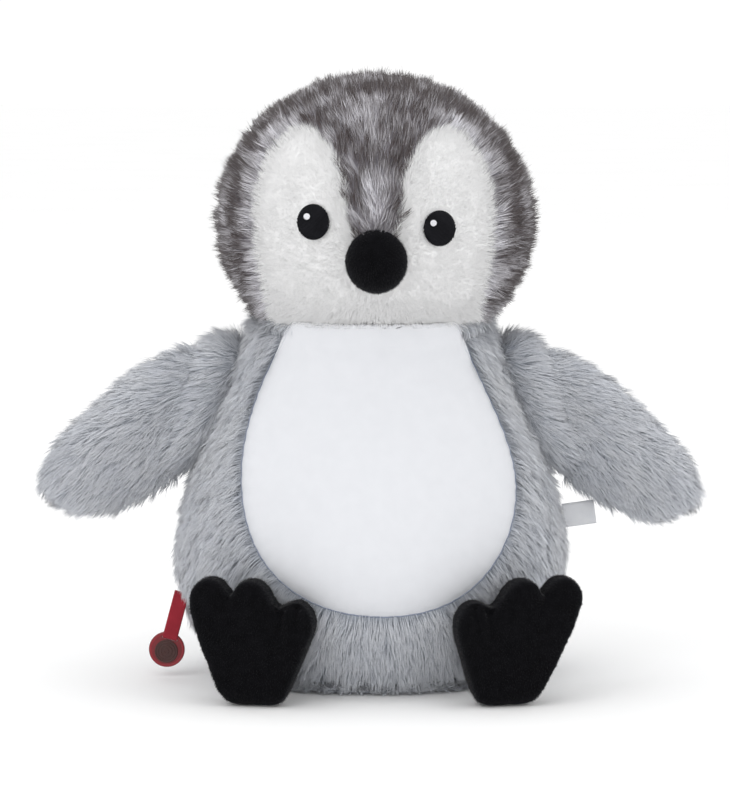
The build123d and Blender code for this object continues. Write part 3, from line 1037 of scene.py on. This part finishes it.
def wing_shape(side):
    """The wing's filling joined to a full, rounded root along the body's side seam."""
    joint = joint_of(f"wing_swing_{side}")
    seam, along = Vector(joint["pos_m"]), Vector(joint["axis"]).normalized()
    outwards = along.cross(Vector((0, 1, 0))).normalized()
    if outwards.x * seam.x < 0:
        outwards.negate()
    if along.z < 0:
        along.negate()
    half = WING_ROOT_SHARE * (seam.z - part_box(f"body_back_panel_{side}")[0][2])
    work = bmesh.new()
    work.from_mesh(NODES[f"wing_stuffing_{side}"].data)
    for step in range(-WING_ROOT_STEPS, WING_ROOT_STEPS + 1):
        place = step / WING_ROOT_STEPS
        low = max(0, -place) ** 2
        middle = seam + outwards * (WING_ROOT_OUT + WING_ROOT_LEAN * low) + along * (half * place)
        radius = WING_ROOT_RADIUS * (1 - WING_ROOT_TAPER * low)
        ball = bmesh.ops.create_icosphere(work, subdivisions=3, radius=radius)
        bmesh.ops.translate(work, verts=ball["verts"], vec=middle)
    return remeshed(f"wing_backing_{side}", work, 2.6 * MM, smoothing=8)


def make_wing(side):
    body = f"wing_{side}"
    stuffing = f"wing_stuffing_{side}"
    outwards = -1 if side == "left" else 1
    middle = centre_of(stuffing)

    def to_the_tip(roots):
        """Fur combed towards the tip above, and more and more downwards below."""
        field = np.zeros_like(roots)
        field[:, 0] = 0.9 * outwards
        field[:, 2] = -0.55 - 0.45 * np.clip((middle.z - roots[:, 2]) / (35 * MM), -1, 1)
        return field

    panels = [f"wing_{place}_panel_{side}" for place in ("front", "back")]
    skin = stuffed_skin(
        wing_shape(side), 1.8 * MM, 1.4 * MM, GREY_SKIN, body, "grey_plush", *panels
    )
    pile = Pile(
        10.5 * MM, 0.38 * MM, 0.62, to_the_tip, grey_colour, GREY_FUR,
        droop=0.45, clump=0.3, stray=0.3,
    )
    roots, normals = sow(skin, WING_DENSITY, 300 + SIDES.index(side))
    front = roots[:, 1] < 0
    thinned = np.random.default_rng(330).random(len(roots)) < WING_BACK_SHARE
    shares = (front, ~front & thinned)
    seeds = (310 + SIDES.index(side), 320 + SIDES.index(side))
    cover_panels(panels, shares, roots, normals, pile, seeds, body, "grey_plush")
    fibre_filling(stuffing, body, 3 * MM)


# ---- feet and beak

def velvet_pile(piece, body, seed):
    """A nap of very short strands all over a velvet piece."""
    roots, normals = sow(piece, 2.0e6, seed)
    keep = (normals[:, 2] > -0.8) | (roots[:, 2] > 2 * MM)
    pile = Pile(
        1.1 * MM, 0.28 * MM, 1.6, combed_down, black_colour, BLACK_FUR,
        clump=0.0, stray=0.4, bent=False,
    )
    name = piece.name.replace("velvet", "nap")
    plush(name, roots[keep], normals[keep], pile, seed + 1, body, "black_velvet")


CREASE_DEPTH = 2.4 * MM
CREASE_WIDTH = 2.2 * MM
CREASE_RUN = 26 * MM


def notches(side):
    """The two lowest places between a foot's toes, found along its top edge."""
    node = f"foot_stuffing_{side}"
    low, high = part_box(node)
    tree = tree_of(node)
    samples = 60
    tops = []
    for i in range(samples):
        x = low[0] + (high[0] - low[0]) * (i + 0.5) / samples
        hits = [
            tree.ray_cast(Vector((x, low[1] + (high[1] - low[1]) * k / 8, 1)), Vector((0, 0, -1)))
            for k in range(1, 8)
        ]
        tops.append((x, max((h[0].z for h in hits if h[0]), default=low[2])))
    dips = [
        (z, x)
        for (_, before), (x, z), (_, after) in zip(tops, tops[1:], tops[2:])
        if z < before and z <= after and z > (low[2] + high[2]) / 2
    ]
    return [(x, z) for z, x in sorted(dips)[:2]]


def crease_toes(foot, side):
    """Presses a crease into both faces of the foot below each notch between its toes."""
    points, normals = read_points(foot.data), read_points(foot.data, "normal")
    heel = centre_of(f"foot_sole_panel_{side}")
    for x, z in notches(side):
        start = np.array([x, z])
        towards = np.array([0.35 * (heel.x - x), -z])
        towards /= np.linalg.norm(towards)
        offset = points[:, [0, 2]] - start
        along = offset @ towards
        across = offset @ np.array([-towards[1], towards[0]])
        fade = np.clip(1 - along / CREASE_RUN, 0, 1) * (along > -4 * MM)
        press = CREASE_DEPTH * fade * np.exp(-(across / CREASE_WIDTH) ** 2)
        points -= normals * (press * (np.abs(normals[:, 1]) > 0.3))[:, None]
    write_points(foot.data, points)


def make_foot(side):
    body = f"foot_{side}"
    stuffing = f"foot_stuffing_{side}"
    foot = stuffed_skin(
        remeshed_copy(f"foot_velvet_{side}", stuffing, 1.8 * MM, smoothing=4),
        1.9 * MM, 1.2 * MM, VELVET, body, "black_velvet",
        f"foot_sole_panel_{side}", f"foot_upper_panel_{side}",
    )
    crease_toes(foot, side)
    velvet_pile(foot, body, 400 + 10 * SIDES.index(side))
    fibre_filling(stuffing, body, 3 * MM, shrink=2 * MM)


def make_beak():
    shape = remeshed_copy("beak_velvet", "beak_stuffing", 1.4 * MM)
    beak = stuffed_skin(
        shape, 2.4 * MM, 1 * MM, VELVET, "head", "black_velvet", "beak_cover"
    )
    velvet_pile(beak, "head", 430)
    fibre_filling("beak_stuffing", "head", 1.5 * MM)


# ---- tag, label, seat and zip

def extents(node, direction):
    """The least and greatest place of a CAD node along a direction."""
    marks = read_points(NODES[node].data) @ np.array(direction)
    return marks.min(), marks.max()


RIBBON_THICKNESS = 0.45 * MM
RIBBON_ROOT = 5 * MM  # sewn in under the fur
RIBBON_EXTRA = 0.9 * MM  # of width, which fills the slot of the tag
LABEL_THICKNESS = 0.22 * MM
MEDALLION_RADIUS = 5.4 * MM
MEDALLION_THICKNESS = 0.5 * MM
MEDALLION_DROP = 0.9 * MM  # below the middle of the tag
ROUND_STEPS = 96


def ring_line(centre, radius, across, down):
    """Places round a circle."""
    angles = [2 * math.pi * k / ROUND_STEPS for k in range(ROUND_STEPS)]
    turns = [(radius * math.cos(angle), radius * math.sin(angle)) for angle in angles]
    return [centre + across * along + down * below for along, below in turns]


def make_tag():
    """A round rubber tag in a loop of red ribbon. Its face carries plain rings only."""
    seam, middle = Vector(joint_of("tag_swing")["pos_m"]), centre_of("tag_disc")
    down = (middle - seam).normalized()
    forward = Vector((0, -1, 0))
    across = down.cross(forward).normalized()
    top, bottom = extents("tag_ribbon", down)
    front, back = extents("tag_ribbon", forward)
    side, other_side = extents("tag_ribbon", across)
    half = (back - front - RIBBON_THICKNESS) / 2
    centre = across * ((side + other_side) / 2) + forward * ((front + back) / 2)
    loop = half_turn(centre, down, top - RIBBON_ROOT + half, -half, forward)
    loop += half_turn(centre, down, bottom + RIBBON_THICKNESS - half, half, -forward)
    width = other_side - side + RIBBON_EXTRA
    ribbon = strap(
        "tag_webbing", loop, across, width, RIBBON_THICKNESS, 0.8 * MM, closed=True
    )
    place_piece(ribbon, RED_WEBBING, "hang_tag", "red_ribbon", "tag_ribbon")

    dress("tag_disc", RED_RUBBER)
    left, right = extents("tag_disc", across)
    near, far = extents("tag_disc", forward)
    radius, face = (right - left) / 2, (far - near) / 2
    edge = ring_line(middle, radius - 0.75 * MM, across, down)
    rim = outward(tubes("tag_rim", [edge], 1.15 * face, sides=12, closed=True))
    place_piece(rim, RIM_RUBBER, "hang_tag", "red_tag")
    heart = middle + down * MEDALLION_DROP + forward * face
    rings = [
        ring_line(heart, MEDALLION_RADIUS * share, across, down) for share in (1, 0.78, 0.5, 0.2)
    ]
    relief = outward(tubes("tag_medallion_rings", rings, 0.45 * MM, sides=8, closed=True))
    place_piece(relief, BROWN_RUBBER, "hang_tag", "red_tag")
    work = bmesh.new()
    bmesh.ops.create_cone(
        work, cap_ends=True, segments=ROUND_STEPS, radius1=MEDALLION_RADIUS,
        radius2=MEDALLION_RADIUS, depth=MEDALLION_THICKNESS,
    )
    turn = Vector((0, 0, 1)).rotation_difference(forward).to_matrix()
    bmesh.ops.rotate(work, verts=work.verts, cent=(0, 0, 0), matrix=turn)
    bmesh.ops.translate(work, verts=work.verts, vec=heart)
    disc = mesh_of("tag_medallion", work)
    place_piece(disc, BROWN_RUBBER, "hang_tag", "red_tag", smooth=False)


def make_label():
    """A blank strip, folded in two with its fold outwards."""
    out = centre_of("care_label") - Vector(joint_of("label_flap")["pos_m"])
    out.y = 0
    out.normalize()
    through = Vector((0, 1, 0))
    across = out.cross(through).normalized()
    start, end = extents("care_label", out)
    low, high = extents("care_label", across)
    front, back = extents("care_label", through)
    half = (back - front) / 2 - LABEL_THICKNESS
    centre = across * ((low + high) / 2) + through * ((front + back) / 2)
    fold = half_turn(centre, out, end - half, half, through)
    root = centre + out * start
    path = [root - through * half] + fold + [root + through * half]
    mesh = strap("label_strip", path, across, high - low, LABEL_THICKNESS, 1.2 * MM)
    label = place_piece(mesh, WHITE_LABEL, "care_label", "white_label", "care_label")


HEM_DENSITY = 5e6
HEM_INNER = 0.86  # of the seat's outline, squared, from where the pile shows


def spreading(roots):
    """Fur combed out from the middle of the seat, along the floor."""
    field = roots * np.array([1, 1, 0])
    field[:, 2] = -0.02
    return field


def grow_hem(seat):
    """The pile that spreads on the floor all round the seat."""
    half = box_of("base_panel")[1]
    roots, normals = sow(seat, HEM_DENSITY, 62)
    place = (roots[:, 0] / half.x) ** 2 + (roots[:, 1] / half.y) ** 2
    keep = (place > HEM_INNER) & (normals[:, 2] > -0.7)
    pile = Pile(
        8.5 * MM, 0.38 * MM, 0.6, spreading, grey_colour, GREY_FUR, droop=0.3, clump=0.3
    )
    plush("seat_hem_fur", roots[keep], normals[keep], pile, 63, "torso", "grey_plush")


def dress(node, material):
    """Gives a carried-over CAD node its material."""
    paint(NODES[node], material)


def make_seat():
    """The cloth under the toy, with its zip."""
    seat = remeshed_copy("seat_cover", "base_panel", 1.2 * MM, smoothing=1)
    points = read_points(seat.data)
    grain = 0.12 * MM * waves(points, 5 * MM, 61)
    points += read_points(seat.data, "normal") * grain[:, None]
    points[:, 2] = np.clip(points[:, 2], 0.1 * MM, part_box("base_panel")[1][2])
    write_points(seat.data, points)
    paint(seat, GREY_SKIN)
    claim(seat, "torso", "grey_plush", "base_panel")
    grow_hem(seat)
    for side in ("front", "back"):
        node = f"zip_tape_{side}"
        low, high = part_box(node)
        centre, half = box_of(node)
        path = [Vector((x, centre.y, centre.z)) for x in (low[0], high[0])]
        mesh = strap(f"{node}_weave", path, (0, 1, 0), 2 * half.y, 1.8 * half.z, 1.4 * MM)
        place_piece(mesh, GREY_TAPE, "torso", "zip_tape", node)
        dress(f"zip_teeth_{side}", ZIP_PLASTIC)
    for node in ("zip_end_stops", "zip_slider", "zip_pull"):
        dress(node, ZIP_METAL)


# ---- stage, light and camera

CAMERA_DISTANCE = 1.6
CAMERA_HEIGHT = 0.30
AIM_HEIGHT = 0.1375
AIM_X = -0.003
LENS = 158.5


def make_stage():
    bpy.ops.mesh.primitive_plane_add(size=60, location=(0, 0, 0))
    floor = bpy.context.object
    floor.name = "floor"
    paper = new_material("paper", 0.9)
    mottled_colour(paper, (0.95, 0.95, 0.95), (0.97, 0.97, 0.97), 3.0)
    paint(floor, paper)

    world = bpy.data.worlds.new("studio")
    bpy.context.scene.world = world
    world.use_nodes = True
    sky = world.node_tree.nodes["Background"].inputs
    sky["Color"].default_value = (1, 1, 1, 1)
    sky["Strength"].default_value = 1.04


def aimed(name, data, place, aim):
    """A light or camera at a place, turned towards another."""
    thing = bpy.data.objects.new(name, data)
    thing.location = place
    thing.rotation_euler = (Vector(aim) - Vector(place)).to_track_quat("-Z", "Y").to_euler()
    bpy.context.scene.collection.objects.link(thing)
    return thing


def area_light(name, place, aim, size, power):
    data = bpy.data.lights.new(name, "AREA")
    data.shape = "SQUARE"
    data.size = size
    data.energy = power
    aimed(name, data, place, aim)


def make_lights():
    area_light("key", (-0.9, -1.6, 1.7), (0, 0, 0.15), 1.2, 7)
    area_light("fill", (1.4, -1.3, 1.0), (0, 0, 0.15), 1.2, 2)
    area_light("top", (0, 0.2, 2.6), (0, 0, 0), 2.2, 7)


def make_camera():
    data = bpy.data.cameras.new("camera")
    data.sensor_fit = "HORIZONTAL"
    data.lens = LENS
    place = (AIM_X, -CAMERA_DISTANCE, CAMERA_HEIGHT)
    bpy.context.scene.camera = aimed("camera", data, place, (AIM_X, 0, AIM_HEIGHT))
    bpy.context.scene.view_settings.view_transform = "Standard"


make_camera()
make_stage()
make_lights()
make_body()
make_belly()
make_neck()
make_head()
for side_name in SIDES:
    make_wing(side_name)
    make_foot(side_name)
make_beak()
make_eyes()
make_tag()
make_label()
make_seat()
